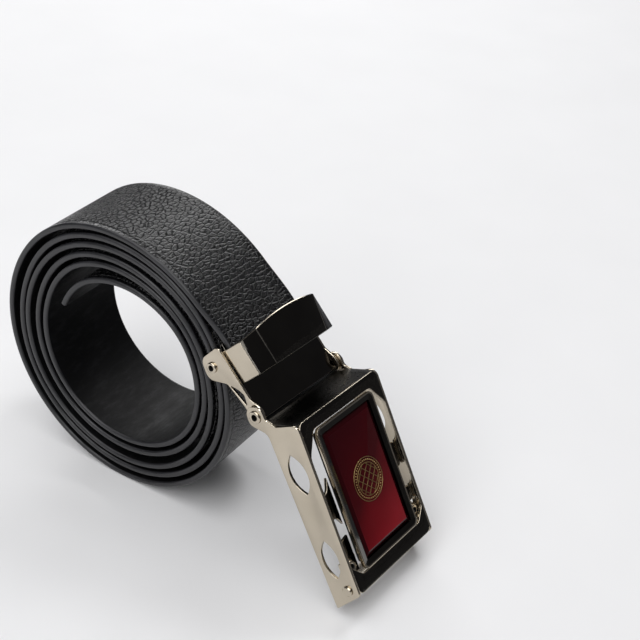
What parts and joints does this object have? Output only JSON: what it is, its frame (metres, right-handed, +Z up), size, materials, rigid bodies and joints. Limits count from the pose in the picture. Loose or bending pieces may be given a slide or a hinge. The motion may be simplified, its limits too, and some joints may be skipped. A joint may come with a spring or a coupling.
{
  "type": "ratchet belt",
  "caption": "Leather belt rolled up and standing on edge, its clip-on plate buckle hinged to a strap clamp and set with a glass inlay.",
  "frame": {"origin": "on the floor, under the middle of the part's box", "axes": "+Z up, +Y along the coil's axis, +X from the coil to the buckle"},
  "size_m": [0.153, 0.0486, 0.0977],
  "materials": {
    "leather": "pebbled grain outside, smooth inside",
    "nickel": "polished warm nickel plate",
    "black_nickel": "polished black nickel plate",
    "glass": "deep red, bevelled",
    "gold": "fine gilt lines"
  },
  "bodies": {
    "belt": {"strap": "leather", "clamp_base": "nickel", "cover_pin_left": "nickel", "cover_pin_right": "nickel", "hinge_pin_left": "nickel", "hinge_pin_right": "nickel"},
    "cover": {"clamp_cover": "black_nickel"},
    "buckle": {"frame": "nickel", "bezel": "black_nickel", "inlay": "glass", "medallion": "gold", "lock_bar": "nickel", "rivet_left": "nickel", "rivet_right": "nickel"}
  },
  "joints": [
    {"name": "frame_hinge", "type": "hinge", "parent": "belt", "child": "buckle", "pos_m": [0.0311, 0.00217, 0.05607], "axis": [0.0523, 0.9973, -0.0523], "range_deg": [-25, 40]},
    {"name": "cover_hinge", "type": "hinge", "parent": "belt", "child": "cover", "pos_m": [0.01252, 0.0036, 0.06482], "axis": [-0.0523, -0.9973, 0.0523], "range_deg": [0, 30]}
  ]
}
